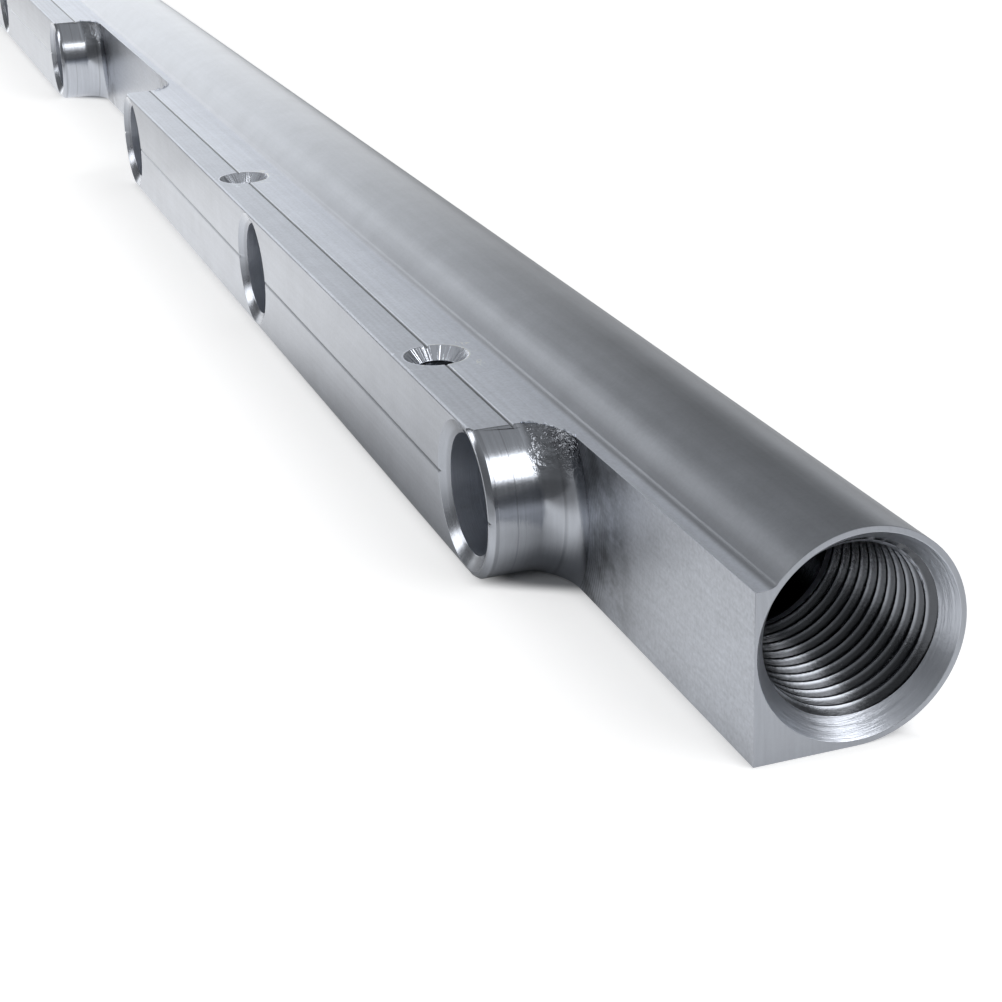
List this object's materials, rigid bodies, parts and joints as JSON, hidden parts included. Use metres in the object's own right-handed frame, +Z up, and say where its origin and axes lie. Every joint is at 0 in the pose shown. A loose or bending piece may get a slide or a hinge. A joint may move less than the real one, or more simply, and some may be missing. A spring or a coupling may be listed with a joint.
{
  "type": "fuel rail",
  "caption": "Machined aluminium fuel rail for an inline engine: a round bored body with a milled wing, injector bosses, countersunk bracket holes and a threaded port at each end.",
  "frame": {"origin": "middle of the underside of the bounding box", "axes": "+X along the rail, towards the threaded end that the picture shows; -Y out of the injector bores; +Z up"},
  "size_m": [0.617, 0.0317, 0.0222],
  "materials": {
    "machined_aluminium": "raw machined"
  },
  "bodies": {
    "root": {"rail_body": "machined_aluminium"}
  },
  "joints": []
}
